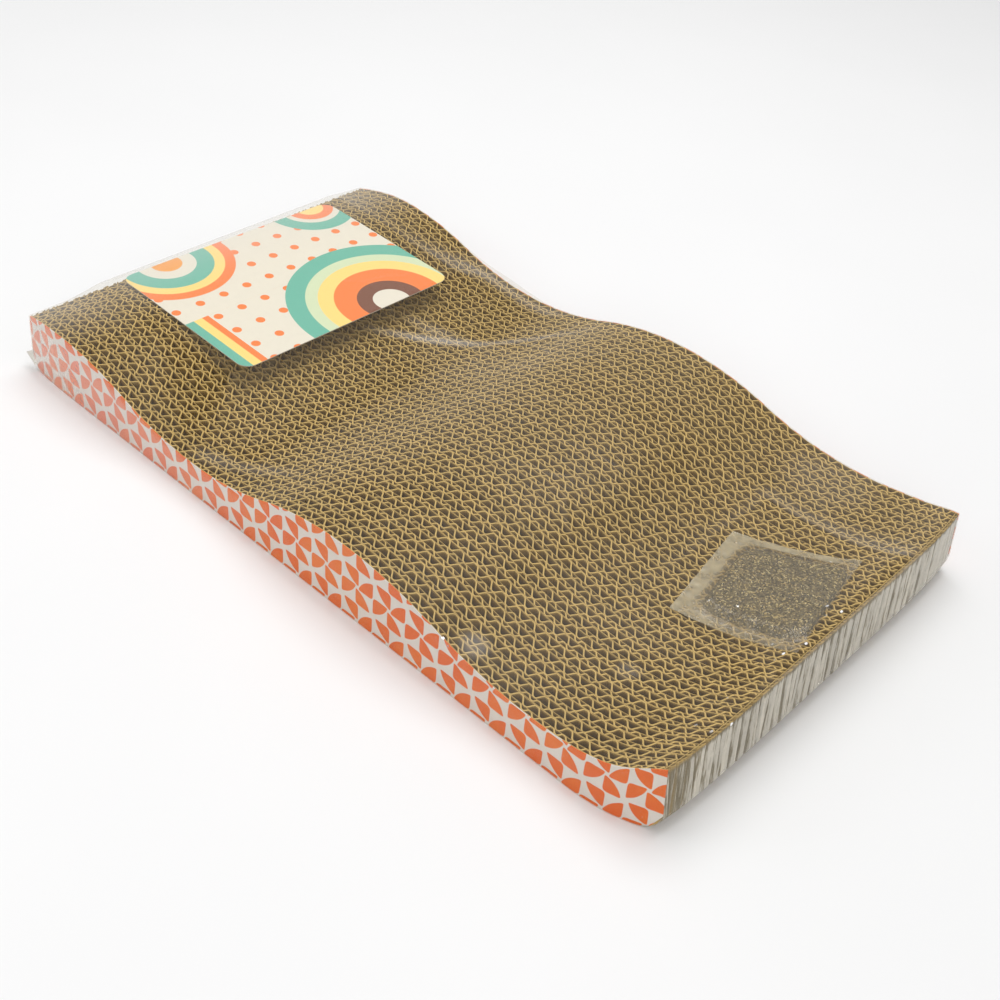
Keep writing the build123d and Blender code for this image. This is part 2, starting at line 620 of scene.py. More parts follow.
@dataclass(frozen=True)
class PrintedCard:
    """Coated card with fans of coloured rings, edge stripes and small dots."""

    board: tuple[float, ...] = srgb(208, 202, 190)
    arches: tuple[Arch, ...] = (
        Arch((52 * MM, 32 * MM), ((11 * MM, CREAM), (20 * MM, BROWN), (33 * MM, ORANGE), (42 * MM, YELLOW),
                                  (49 * MM, MINT), (60 * MM, TEAL))),
        Arch((-53 * MM, -46 * MM), ((9 * MM, AMBER), (17 * MM, CREAM), (27 * MM, TEAL), (33 * MM, YELLOW),
                                    (39 * MM, ORANGE))),
        Arch((-56 * MM, 62 * MM), ((9 * MM, YELLOW), (15 * MM, ORANGE), (19 * MM, CREAM), (28 * MM, TEAL))),
    )
    stripes: tuple[tuple[float, tuple[float, ...]], ...] = (
        (-75 * MM, TEAL), (-69.5 * MM, YELLOW), (-64 * MM, ORANGE))
    stripes_end: float = -60 * MM
    stripes_start_x: float = 4 * MM
    dot_step: float = 16 * MM
    dot_radius: float = 2.6 * MM
    edge_blur: float = 0.08 * MM
    fibre_amount: float = 0.12
    relief: float = 0.06 * MM

    def material(self, effects: Effects, middle: Vector) -> Material:
        """Builds the finish.

        Args:
            effects: The shared node groups.
            middle: Middle of the card, where its print is centred.

        Returns:
            The material.
        """
        material, sheet, output = new_material("printed_card")
        place = sheet.place()
        local = sheet.vector_math("SUBTRACT", place, middle).outputs[0]
        flat = sheet.stretched(local, (1.0, 1.0, 0.0))
        colour = self.striped(sheet, flat, self.dotted(sheet, flat))
        for arch in self.arches:
            away = sheet.vector_math("DISTANCE", flat, (*arch.middle, 0.0)).outputs["Value"]
            for radius, ink in reversed(arch.rings):
                colour = sheet.mix(self.below(sheet, away, radius), colour, ink)
        fibre = Effects.use(sheet, effects.paper_fibre, {"Vector": place, "Amount": self.fibre_amount})
        normal = sheet.add("ShaderNodeNewGeometry").outputs["Normal"]
        printed = sheet.span(sheet.axis(normal, "Z"), 0.4, 0.6)
        sheet.surface(output, {
            "Base Color": sheet.toned(sheet.mix(printed, self.board, colour), fibre.outputs["Tone"]),
            "Roughness": sheet.span(printed, 0.0, 1.0, 0.8, 0.38), "Specular IOR Level": 0.4,
            "Normal": sheet.bump(sheet.noise(place, scale=160, detail=2), self.relief, 0.5)})
        return material

    def below(self, sheet: NodeSheet, value: Value, limit: float) -> NodeSocket:
        """Mask that is 1 below a limit, with a printed edge's softness."""
        return sheet.span(value, limit - self.edge_blur, limit + self.edge_blur, 1.0, 0.0)

    def dotted(self, sheet: NodeSheet, flat: NodeSocket) -> NodeSocket:
        """Cream ground with a square grid of small orange dots.

        Args:
            sheet: The card's nodes.
            flat: Place on the card from its middle.

        Returns:
            The colour's socket.
        """
        step = (self.dot_step, self.dot_step, 1.0)
        nearest = sheet.vector_math("WRAP", flat, step, (0.0, 0.0, 0.0)).outputs[0]
        half = self.dot_step / 2
        away = sheet.vector_math("DISTANCE", nearest, (half, half, 0.0)).outputs["Value"]
        return sheet.mix(self.below(sheet, away, self.dot_radius), CREAM, ORANGE)

    def striped(self, sheet: NodeSheet, flat: NodeSocket, ground: NodeSocket) -> NodeSocket:
        """Ground with stripes along the front half of the near edge.

        Args:
            sheet: The card's nodes.
            flat: Place on the card from its middle.
            ground: Colour of what the stripes are printed on.

        Returns:
            The colour's socket.
        """
        rearward = sheet.math("MULTIPLY", sheet.axis(flat, "X"), -1.0)
        nearward = sheet.math("MULTIPLY", sheet.axis(flat, "Y"), -1.0)
        front = self.below(sheet, rearward, -self.stripes_start_x)
        colour = ground
        for start, ink in (*self.stripes, (self.stripes_end, ground)):
            inked = sheet.math("MULTIPLY", front, self.below(sheet, nearward, -start))
            colour = sheet.mix(inked, colour, ink)
        return colour


@dataclass(frozen=True)
class ClearFilm:
    """Thin clear plastic: cloudy where it is creased or doubled, glossy at a slant, with painted sheen and
    painted glints where its attributes place them.
    """

    name: str
    crinkle_scale: float
    relief: float
    haze: float
    cloud: float
    crease: float
    veil: float
    roughness: float
    gloss: float
    slant_gloss: float
    slant_power: float = 4.0
    tint: tuple[float, ...] = srgb(251, 250, 247)
    milk: tuple[float, ...] = srgb(226, 222, 212)

    def material(self, effects: Effects) -> Material:
        """Builds the finish.

        Args:
            effects: The shared node groups.

        Returns:
            The material.
        """
        material, sheet, output = new_material(self.name)
        place = sheet.place()
        crinkle = Effects.use(sheet, effects.film_crinkle, {"Vector": place, "Scale": self.crinkle_scale})
        normal = sheet.bump(crinkle.outputs["Height"], self.relief)
        clouds = sheet.math("MULTIPLY_ADD", crinkle.outputs["Cloud"], self.cloud, self.haze)
        creases = sheet.math("MULTIPLY_ADD", crinkle.outputs["Crease"], self.crease, clouds)
        cover = sheet.math("MULTIPLY_ADD", sheet.attribute("veil"), self.veil, creases, clamp=True)
        facing = sheet.add("ShaderNodeLayerWeight", {"Blend": 0.5, "Normal": normal}).outputs["Facing"]
        slant = sheet.math("POWER", facing, self.slant_power)
        shine = sheet.math("MULTIPLY_ADD", slant, self.slant_gloss, self.gloss)
        # Painted reflection: the sheen attribute raises the gloss where the film should look brighter.
        shine = sheet.math("ADD", shine, sheet.attribute("sheen"))
        # Painted highlights: where the glint attribute and the crinkle's Glint spots meet, the film turns
        # fully glossy in small white dots.
        lit = sheet.attribute("glint")
        shine = sheet.math("MULTIPLY_ADD", crinkle.outputs["Glint"], lit, shine, clamp=True)
        clear = sheet.add("ShaderNodeBsdfTransparent", {"Color": self.tint})
        milky = sheet.add("ShaderNodeBsdfPrincipled", {
            "Base Color": self.milk, "Roughness": 0.6, "Specular IOR Level": 0.0, "Normal": normal})
        gloss = sheet.add("ShaderNodeBsdfGlossy", {
            "Color": WHITE, "Roughness": self.roughness, "Normal": normal})
        body = sheet.add("ShaderNodeMixShader", {0: cover, 1: clear.outputs[0], 2: milky.outputs[0]})
        mixed = sheet.add("ShaderNodeMixShader", {0: shine, 1: body.outputs[0], 2: gloss.outputs[0]})
        sheet.feed(output.inputs["Surface"], mixed.outputs[0])
        return material


BAG_FILM = ClearFilm("bag_film", crinkle_scale=240.0, relief=0.3 * MM, haze=0.03, cloud=0.03, crease=0.03,
                     veil=0.6, roughness=0.12, gloss=0.035, slant_gloss=0.16, milk=srgb(206, 193, 160))
WRAP_FILM = ClearFilm("wrap_film", crinkle_scale=22.0, relief=0.4 * MM, haze=0.0, cloud=0.015, crease=0.006,
                      veil=0.2, roughness=0.3, gloss=0.008, slant_gloss=0.45)


@dataclass(frozen=True)
class DriedCatnip:
    """Finely cut dried leaf in grey browns and olives, with tan stalk flecks."""

    dark: tuple[float, ...] = srgb(64, 55, 36)
    light: tuple[float, ...] = srgb(128, 112, 75)
    fleck: tuple[float, ...] = srgb(190, 166, 108)
    crumb_scale: float = 1500.0
    crumb_relief: float = 0.4 * MM
    fibre_amount: float = 0.5

    def material(self, effects: Effects) -> Material:
        """Builds the finish.

        Args:
            effects: The shared node groups.

        Returns:
            The material.
        """
        material, sheet, output = new_material("dried_catnip")
        place = sheet.place()
        crumbs = sheet.add("ShaderNodeTexVoronoi", {"Vector": place, "Scale": self.crumb_scale})
        shade = sheet.add("ShaderNodeSeparateColor", {0: crumbs.outputs["Color"]})
        fibre = Effects.use(sheet, effects.paper_fibre, {"Vector": place, "Amount": self.fibre_amount})
        leaf = sheet.mix(sheet.span(shade.outputs[0], 0.2, 0.9), self.dark, self.light)
        colour = sheet.mix(sheet.span(shade.outputs[1], 0.88, 0.92), leaf, self.fleck)
        sheet.surface(output, {
            "Base Color": sheet.toned(colour, fibre.outputs["Tone"]), "Roughness": 0.9,
            "Specular IOR Level": 0.2, "Normal": sheet.bump(crumbs.outputs["Distance"], self.crumb_relief)})
        return material


@dataclass(frozen=True)
class CatnipStalk:
    """Tan stalk and leaf flecks on the top of the catnip."""

    pale: tuple[float, ...] = srgb(230, 210, 152)
    dull: tuple[float, ...] = srgb(152, 132, 84)
    fibre_amount: float = 0.3

    def material(self, effects: Effects) -> Material:
        """Builds the finish.

        Args:
            effects: The shared node groups.

        Returns:
            The material.
        """
        material, sheet, output = new_material("catnip_stalk")
        place = sheet.place()
        fibre = Effects.use(sheet, effects.paper_fibre, {"Vector": place, "Amount": self.fibre_amount})
        pick = sheet.span(sheet.noise(place, scale=420, detail=1), 0.4, 0.6)
        colour = sheet.toned(sheet.mix(pick, self.dull, self.pale), fibre.outputs["Tone"])
        sheet.surface(output, {"Base Color": colour, "Roughness": 0.7})
        return material


def finish_piece(name: str, mesh: BMesh, material: Material, body: Body,
                 stands_for: Sequence[str] = (), smooth: bool = False) -> Object:
    """Turns a finished bmesh into a dressed piece that rides on its body.

    Args:
        name: Name of the piece.
        mesh: The bmesh, which is freed.
        material: Its finish.
        body: The body that carries it.
        stands_for: Nodes that it replaces.
        smooth: Whether its faces are shaded as one surface.

    Returns:
        The new object.
    """
    data = bpy.data.meshes.new(name)
    mesh.to_mesh(data)
    mesh.free()
    data.materials.append(material)
    if smooth:
        data.shade_smooth()
        data.set_sharp_from_angle(angle=SHARP_ANGLE)
    piece = bpy.data.objects.new(name, data)
    bpy.context.scene.collection.objects.link(piece)
    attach(piece, body.value)
    if stands_for:
        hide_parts(*stands_for)
    LOG.info("%s: %d faces, on %s", name, len(data.polygons), body.value)
    return piece


def give_thickness(piece: Object, thickness: float) -> None:
    """Gives sheets their thickness, half to each side, less where their weight is low.

    Args:
        piece: The piece, with its weights in its first vertex group.
        thickness: Thickness at full weight.
    """
    solid = piece.modifiers.new("thickness", "SOLIDIFY")
    solid.thickness = thickness
    solid.offset = 0.0
    solid.vertex_group = piece.vertex_groups.new(name="paper_weight").name


def gridded_box(mesh: BMesh, stations: Sequence[Sequence[float]]) -> None:
    """Makes a box from 0 to 1 on each axis, cut into a grid.

    Args:
        mesh: The bmesh to fill.
        stations: Places of the cuts along each axis, between 0 and 1.
    """
    made = bmesh.ops.create_cube(mesh, size=1.0)
    bmesh.ops.translate(mesh, verts=made["verts"], vec=(0.5, 0.5, 0.5))
    for axis, places in enumerate(stations):
        normal = Vector((0, 0, 0))
        normal[axis] = 1
        for place in places:
            bmesh.ops.bisect_plane(mesh, geom=mesh.verts[:] + mesh.edges[:] + mesh.faces[:],
                                   plane_co=normal * place, plane_no=normal)


def even_cuts(count: int) -> list[float]:
    """Places of the cuts that divide a side of a box into even parts."""
    return [index / count for index in range(1, count)]


@dataclass(frozen=True)
class SheetLook:
    """How one paper sheet is cut, toned and pressed."""

    tone: float = 1.0
    weight: float = 1.0
    edge_tone: float = 1.0
    edge_band: float = 1.1 * MM
    ragged: float = 0.12 * MM
    leaf_points: int = 0
    leaf_tone: float = 1.0
    leaf_band: float = 3.6 * MM


class PaperStack:
    """Upright paper sheets in one bmesh, each raised on a line in plan."""

    def __init__(self, rng: random.Random) -> None:
        """Starts an empty stack.

        Args:
            rng: The stack's own source of chance.
        """
        self.mesh = bmesh.new()
        self.rng = rng
        layers = self.mesh.verts.layers
        self.cut_edge = layers.float.new("cut_edge")
        self.leaf_end = layers.float.new("leaf_end")
        self.tone = layers.float.new("tone")
        self.along = layers.float.new("along_sheet")
        self.weight = layers.deform.verify()

    def raise_sheet(self, low: PlanLine, high: PlanLine, look: SheetLook) -> None:
        """Raises one sheet from the underside to the wave.

        Args:
            low: Line in plan at the underside.
            high: Line in plan along the top, with as many points.
            look: Edge, tone and weight of this sheet.
        """
        last = len(low) - 1
        made = bmesh.ops.create_grid(self.mesh, x_segments=last, y_segments=2, size=1.0)
        stray = [self.rng.uniform(-look.ragged, look.ragged) for _ in low]
        for vert in made["verts"]:
            column = round((vert.co.x + 1) / 2 * last)
            row = round(vert.co.y + 1)
            x, y = (low, high, high)[row][column]
            from_tip = min(column, last - column)
            in_leaf = from_tip < look.leaf_points
            top = FORM.wave(x) + stray[column]
            band = look.leaf_band if in_leaf else look.edge_band
            vert.co = FORM.pulled(Vector((x, y, (FORM.underside(x), top - band, top)[row])))
            vert[self.cut_edge] = 0.0 if row == 1 else look.edge_tone
            # leaf_end falls from the tip towards the fold, for the painted shade there.
            if in_leaf and row < 2:
                vert[self.leaf_end] = look.leaf_tone * (1 - from_tip / look.leaf_points)
            vert[self.tone] = look.tone
            vert[self.along] = x
            vert[self.weight][0] = look.weight


@dataclass
class FlutedStrip:
    """One double-wall strip of board standing on edge: three liners with a small and a big flute between."""

    index: int
    paper: float = 0.66 * MM
    liner_weight: float = 0.46
    liner_edge: float = 0.62
    liner_step: float = 4 * MM
    liner_tones: tuple[float, float] = (0.78, 1.04)
    glue_overlap: float = 0.1 * MM
    small_flute: float = 1.9 * MM
    small_pitch: float = 6.1 * MM
    big_pitch: float = 8.85 * MM
    points_per_pitch: int = 16
    flute_tones: tuple[float, float] = (0.9, 1.06)
    drift: float = 0.07
    drift_length: float = 60 * MM
    give: float = 0.06
    give_length: float = 14 * MM
    end_inset: float = 2.6 * MM
    end_web_inset: float = 1.9 * MM
    end_web_tones: tuple[float, float] = (0.8, 1.0)
    leaf_points: int = 5
    leaf_turn: float = 1.2 * MM
    leaf_spread: float = 1.1 * MM
    leaf_curl: float = 1.5
    leaf_length: tuple[float, float] = (0.8 * MM, 3.4 * MM)
    brown_strips: int = 2
    brown_leaf_tone: float = 0.5
    first_seed: int = 1000
    node: str = field(init=False)
    rng: random.Random = field(init=False)

    def __post_init__(self) -> None:
        """Names the node and seeds the strip's own chance."""
        self.node = f"board_strip_{self.index:02d}"
        self.rng = random.Random(self.first_seed + self.index)

    def flute_line(self, low: float, high: float, pitch: float) -> PlanLine:
        """Line of a fluted sheet in plan: steep round rises and long straight falls.

        Args:
            low: Lowest Y of the paper's middle.
            high: Highest Y of the paper's middle.
            pitch: Length of one flute.

        Returns:
            Points from the rear end to the front end.
        """
        reach = FORM.half_length - self.end_inset
        count = round(2 * reach / pitch * self.points_per_pitch)
        phase = self.rng.random()
        seed = self.rng.uniform(0, 100)
        line = []
        for step in range(count + 1):
            x = reach * (2 * step / count - 1)
            turn = (x / pitch + phase + self.drift * wander(x / self.drift_length, seed)) % 1.0
            share = self.flute_share(turn)
            give = self.give * (high - low) * wander(x / self.give_length, seed + 7)
            line.append((x, min(max(low + (high - low) * share + give * share, low), high)))
        return line

    @staticmethod
    def flute_share(turn: float) -> float:
        """Height of a flute at a place along it.

        Args:
            turn: Share of the flute's pitch, from 0 to 1.

        Returns:
            Height from 0 to 1.
        """
        rise_start, rise_end, fall_start = 0.09, 0.37, 0.54
        if turn < fall_start:
            return ease((turn - rise_start) / (rise_end - rise_start))
        return 1 - ease((turn - fall_start) / (1 - fall_start))

    def liner_line(self, y: float, fold: float) -> PlanLine:
        """Line of a liner in plan, with each end folded over into a leaf.

        Args:
            y: Y of the paper's middle.
            fold: Length of the folded leaf.

        Returns:
            Points from the tip of the rear leaf to the tip of the front leaf.
        """
        reach = FORM.half_length - self.end_inset
        count = round(2 * reach / self.liner_step)
        line = [(reach * (2 * step / count - 1), y) for step in range(count + 1)]
        leaf = []
        for step in range(1, self.leaf_points + 1):
            share = step / self.leaf_points
            along = self.leaf_turn * math.sin(math.pi / 2 * min(2 * share, 1.0)) + self.leaf_spread * share
            leaf.append((reach + along, y + fold * share ** self.leaf_curl))
        rear = [(-x, y_leaf) for x, y_leaf in reversed(leaf)]
        return rear + line + leaf

    def build(self, material: Material) -> Object:
        """Builds and dresses the strip.

        Args:
            material: The board's finish.

        Returns:
            The finished piece.
        """
        lowest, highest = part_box(self.node)
        liner = self.paper * self.liner_weight
        first = lowest.y + liner / 2
        middle = first + liner + self.small_flute
        last = highest.y - liner / 2
        leaf_tone = self.brown_leaf_tone if self.index <= self.brown_strips else 1.0
        stack = PaperStack(self.rng)
        for y in (first, middle, last):
            room = min(highest.y + self.leaf_length[1], FORM.half_width - self.paper) - y
            folds = [min(self.rng.uniform(*self.leaf_length), room) for _ in range(2)]
            look = SheetLook(self.rng.uniform(*self.liner_tones), self.liner_weight, self.liner_edge,
                             leaf_points=self.leaf_points, leaf_tone=leaf_tone)
            stack.raise_sheet(self.liner_line(y, folds[0]), self.liner_line(y, folds[1]), look)
        for end in (-1, 1):
            x = end * (FORM.half_length - self.end_web_inset)
            web = [(x, y) for y in (lowest.y, middle, highest.y)]
            stack.raise_sheet(web, web, SheetLook(self.rng.uniform(*self.end_web_tones), self.liner_weight))
        for low, high, pitch in ((first, middle, self.small_pitch), (middle, last, self.big_pitch)):
            line = self.flute_line(low + self.glue_overlap, high - self.glue_overlap, pitch)
            stack.raise_sheet(line, line, SheetLook(self.rng.uniform(*self.flute_tones)))
        piece = finish_piece(f"fluted_strip_{self.index:02d}", stack.mesh, material, Body.BLOCK,
                             [self.node])
        give_thickness(piece, self.paper)
        return piece


@dataclass
class BoardBlock:
    """The stack of fluted strips."""

    strip_count: int = 38

    def build(self, material: Material) -> list[Object]:
        """Builds every strip."""
        return [FlutedStrip(index).build(material) for index in range(1, self.strip_count + 1)]


@dataclass
class PrintedFacing:
    """Printed paper glued to one long side of the block."""

    side: Side
    step: float = 4 * MM
    thickness: float = 0.33 * MM
    look: SheetLook = SheetLook(edge_band=0.4 * MM, ragged=0.08 * MM)

    def build(self, material: Material) -> Object:
        """Builds and dresses the facing.

        Args:
            material: The print's finish.

        Returns:
            The finished piece.
        """
        word = self.side.name.lower()
        node = f"printed_facing_{word}"
        lowest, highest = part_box(node)
        y = (lowest.y + highest.y) / 2
        count = round((highest.x - lowest.x) / self.step)
        line = [(lowest.x + (highest.x - lowest.x) * step / count, y) for step in range(count + 1)]
        stack = PaperStack(random.Random(self.side.value))
        stack.raise_sheet(line, line, self.look)
        piece = finish_piece(f"pinwheel_facing_{word}", stack.mesh, material, Body.BLOCK, [node])
        give_thickness(piece, self.thickness)
        return piece


@dataclass
class LabelCard:
    """Printed card that lies on the rear hump and bends a little over it."""

    length: float = 110 * MM
    width: float = 150 * MM
    thickness: float = 0.5 * MM
    corner_radius: float = 7 * MM
    slope: float = math.tan(math.radians(2.3))
    bend_radius: float = 420 * MM
    cuts: int = 28
    middle: Vector = field(init=False)

    def __post_init__(self) -> None:
        """Reads where the card lies."""
        lowest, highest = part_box("label_card")
        self.middle = (lowest + highest) / 2

    def build(self, finish: PrintedCard, effects: Effects) -> Object:
        """Builds and dresses the card.

        Args:
            finish: The card's print.
            effects: The shared node groups.

        Returns:
            The finished piece.
        """
        mesh = bmesh.new()
        made = bmesh.ops.create_grid(mesh, x_segments=1, y_segments=1, size=0.5)
        bmesh.ops.scale(mesh, verts=made["verts"], vec=(self.length, self.width, 1.0))
        bmesh.ops.bevel(mesh, geom=mesh.verts[:], offset=self.corner_radius, affect="VERTICES", segments=6,
                        profile=0.5, material=-1)
        for share in even_cuts(self.cuts):
            bmesh.ops.bisect_plane(mesh, geom=mesh.verts[:] + mesh.edges[:] + mesh.faces[:],
                                   plane_co=(self.length * (share - 0.5), 0, 0), plane_no=(1, 0, 0))
        raised = bmesh.ops.extrude_face_region(mesh, geom=mesh.faces[:])
        upper = [item for item in raised["geom"] if isinstance(item, BMVert)]
        bmesh.ops.translate(mesh, verts=upper, vec=(0, 0, self.thickness))
        bmesh.ops.recalc_face_normals(mesh, faces=mesh.faces[:])
        for vert in mesh.verts:
            vert.co = self.laid(vert.co)
        material = finish.material(effects, self.middle)
        return finish_piece("printed_label_card", mesh, material, Body.CARD, ["label_card"])

    def top_at(self, x: float) -> float:
        """Height of the card's upper face at x."""
        return self.laid(Vector((x - self.middle.x, 0.0, self.thickness))).z

    def laid(self, point: Vector) -> Vector:
        """Lays a point of the flat card on the hump.

        Args:
            point: Point of the card about its own middle, from its underside up.

        Returns:
            The point in the frame, bent down behind the hump's crest.
        """
        x = self.middle.x + point.x
        behind = max(FORM.rear_crest_x - x, 0.0)
        drop = behind ** 2 / (2 * self.bend_radius)
        lift = point.z - self.thickness / 2 - self.slope * point.x - drop
        return Vector((x, self.middle.y + point.y, self.middle.z + lift))


@dataclass(frozen=True)
class Spot:
    """Round patch on a film, brightest in its middle, that places painted sheen and painted glints."""

    x: float
    y: float
    radius: float
    level: float = 1.0
    steepness: float = 1.5

    def level_at(self, x: float, y: float) -> float:
        """Brightness of the patch at a place in plan."""
        away = math.hypot(x - self.x, y - self.y)
        return self.level * ease(self.steepness * (1 - away / self.radius))


@dataclass(frozen=True)
class SheenStreak:
    """Straight soft streak of painted reflection where a film is folded, brightest along its middle and faded
    out at its ends.
    """

    start: tuple[float, float]
    end: tuple[float, float]
    half_width: float
    level: float
    steepness: float = 3.0

    def level_at(self, x: float, y: float) -> float:
        """Brightness of the painted streak at a place in plan.

        Args:
            x: Place along the block.
            y: Place across it.

        Returns:
            The added painted sheen.
        """
        run = Vector(self.end) - Vector(self.start)
        off = Vector((x, y)) - Vector(self.start)
        along = off.dot(run) / run.length_squared
        across = abs(run.cross(off)) / run.length
        ends = ease(self.steepness * along) * ease(self.steepness * (1 - along))
        return self.level * ends * ease(1 - across / self.half_width)


@dataclass
class CatnipBag:
    """Clear bag of dried catnip, draped over the front dip."""

    length: float = 60.6 * MM
    width: float = 74.1 * MM
    middle: tuple[float, float] = (175.9 * MM, 9.75 * MM)
    turn: float = math.radians(11.5)
    taper: float = 0.104
    lean: tuple[float, float] = (0.0185, 0.061)
    cuts: tuple[int, int] = (56, 68)
    padding: float = 0.4
    web_lift: float = 0.35 * MM
    seal_lift: float = 0.7 * MM
    cover_room: float = 0.45 * MM
    cover_foot: float = 1.18
    cover_run: float = 0.3
    crumple_start: float = 0.75
    crumple_run: float = 0.35
    crumple_depth: float = 0.7 * MM
    crumple_floor: float = -0.4
    crumple_seed: float = 4.2
    crumples: tuple[tuple[float, float], ...] = ((7.5, 0.9), (3.1, 0.25))
    fill_half_length: float = 24.8 * MM
    fill_half_width: float = 28.8 * MM
    fill_power: float = 7.0
    fill_shift: float = 4.5 * MM
    fill_thickness: float = 3.4 * MM
    fill_lift: float = 0.6 * MM
    fill_base_lift: float = 0.5 * MM
    fill_shoulder: float = 9.0
    fill_crown: float = 0.55
    fill_cuts: tuple[int, int] = (64, 76)
    lump_size: float = 5 * MM
    lump_height: float = 0.35 * MM
    lump_octaves: int = 3
    fog_ground: float = 0.3
    fog_margin: float = 0.6
    fog_far_share: float = 0.8
    fog_front_loss: float = 0.7
    fog_mottle: float = 0.3
    fog_mottle_sizes: tuple[float, float] = (9 * MM, 3 * MM)
    fog_start: float = 0.92
    fog_run: float = 0.26
    fleck_count: int = 420
    fleck_seed: int = 77
    fleck_reach: float = 0.93
    fleck_lift: float = 0.05 * MM
    fleck_sizes: tuple[tuple[float, float], ...] = ((0.5, 2.0), (0.15, 0.35), (0.1, 0.2))
    fleck_tilt: float = 0.25
    # Painted highlights: places on the bag's margin where white glint dots may fall.
    glint_spots: tuple[Spot, ...] = (
        Spot(160 * MM, -15 * MM, 6 * MM), Spot(175 * MM, -13 * MM, 4.5 * MM), Spot(168 * MM, 46 * MM, 6 * MM),
        Spot(190 * MM, 48 * MM, 9 * MM))

    def place(self, across: float, along: float, lift: float) -> Vector:
        """Point on the bag, from its own plan to the frame.

        Args:
            across: Distance from the bag's middle along its length.
            along: Distance from its middle along its width.
            lift: Height above the wave.

        Returns:
            The point in the frame.
        """
        cos, sin = math.cos(self.turn), math.sin(self.turn)
        widened = along * (1 + self.taper * across / (self.length / 2))
        leant_across, leant_along = across + self.lean[0] * along, widened + self.lean[1] * across
        x = self.middle[0] + leant_across * cos - leant_along * sin
        y = self.middle[1] + leant_across * sin + leant_along * cos
        return Vector((x, y, FORM.pulled_wave(x, y) + lift))

    def rounded_reach(self, first: float, second: float) -> float:
        """Distance from the middle of a square with rounded corners, where 1 is its outline."""
        return (abs(first) ** self.fill_power + abs(second) ** self.fill_power) ** (1 / self.fill_power)

    def fullness(self, across: float, along: float) -> float:
        """How far out in the bed of catnip a point is: 0 in its middle and 1 on its outline."""
        share_across = (across - self.fill_shift) / self.fill_half_length
        return self.rounded_reach(share_across, along / self.fill_half_width)

    def bed_height(self, across: float, along: float) -> float:
        """Height of the catnip above the wave.

        Args:
            across: Distance from the bag's middle along its length.
            along: Distance from its middle along its width.

        Returns:
            The height, with the lumps of the leaf.
        """
        out = min(self.fullness(across, along), 1.0)
        lumps = noise.fractal(Vector((across, along, 0.0)) / self.lump_size, 1.0, 2.0, self.lump_octaves)
        swell = (1 - out ** self.fill_shoulder) ** self.fill_crown
        return self.fill_lift + swell * (self.fill_thickness + self.lump_height * lumps)

    def cover_height(self, across: float, along: float) -> float:
        """Height of the upper web above the wave.

        Args:
            across: Distance from the bag's middle along its length.
            along: Distance from its middle along its width.

        Returns:
            The height, with the crumples of the sealed margin.
        """
        out = self.fullness(across, along)
        swell = ease((self.cover_foot - out) / self.cover_run) * (self.fill_thickness + self.cover_room)
        near_edge = ease((out - self.crumple_start) / self.crumple_run)
        spot = Vector((across, along, self.crumple_seed)) / MM
        crumple = sum(noise.noise(spot / size) * depth for size, depth in self.crumples)
        return self.seal_lift + swell + max(crumple, self.crumple_floor) * near_edge * self.crumple_depth

    def fog(self, across: float, along: float) -> float:
        """Cloudiness of the upper web, thickest at the rear and far margins and none over the catnip.

        Args:
            across: Distance from the bag's middle along its length.
            along: Distance from its middle along its width.

        Returns:
            The fog's level, about 1 at most.
        """
        spot = Vector((across, along, self.fog_mottle_sizes[0]))
        mottle = sum(self.fog_mottle * noise.noise(spot / size) for size in self.fog_mottle_sizes)
        rearward = ease((self.length / 5 - across) / self.length)
        farward = ease((along + self.width / 10) / (self.width / 2))
        frontward = ease((across - self.length / 4) / (self.length / 4))
        margin = self.fog_ground + self.fog_margin * max(rearward, self.fog_far_share * farward)
        level = margin * (1 - self.fog_front_loss * frontward) + mottle
        return max(level, 0.0) * ease((self.fullness(across, along) - self.fog_start) / self.fog_run)

    def build_skin(self, material: Material) -> Object:
        """Builds the bag's two webs as one closed skin.

        Args:
            material: The bag's film.

        Returns:
            The finished piece.
        """
        mesh = bmesh.new()
        gridded_box(mesh, (even_cuts(self.cuts[0]), even_cuts(self.cuts[1]), ()))
        veil, glint = (mesh.verts.layers.float.new(name) for name in ("veil", "glint"))
        for vert in mesh.verts:
            across = self.length * (vert.co.x - 0.5)
            along = self.width * (vert.co.y - 0.5)
            if vert.co.z < 0.5:
                vert.co = self.place(across, along, self.web_lift)
                continue
            vert.co = self.place(across, along, self.cover_height(across, along))
            vert[veil] = self.fog(across, along)
            # Painted highlights: the glint attribute places white glint dots on the margin.
            vert[glint] = max(spot.level_at(vert.co.x, vert.co.y) for spot in self.glint_spots)
        skin = finish_piece("catnip_bag_skin", mesh, material, Body.SACHET,
                            ["sachet_front_web", "sachet_back_web"], smooth=True)
        return skin

    def build_bed(self, material: Material) -> Object:
        """Builds the bed of cut leaf.

        Args:
            material: The leaf's finish.

        Returns:
            The finished piece.
        """
        mesh = bmesh.new()
        gridded_box(mesh, (even_cuts(self.fill_cuts[0]), even_cuts(self.fill_cuts[1]), ()))
        for vert in mesh.verts:
            square = Vector((2 * vert.co.x - 1, 2 * vert.co.y - 1))
            reach = self.rounded_reach(square.x, square.y)
            if reach > 0:
                square *= max(abs(square.x), abs(square.y)) / reach
            across = self.fill_shift + self.fill_half_length * square.x
            along = self.fill_half_width * square.y
            lift = self.bed_height(across, along) if vert.co.z > 0.5 else self.fill_base_lift
            vert.co = self.place(across, along, lift)
        return finish_piece("catnip_bed", mesh, material, Body.SACHET, ["catnip_fill"])

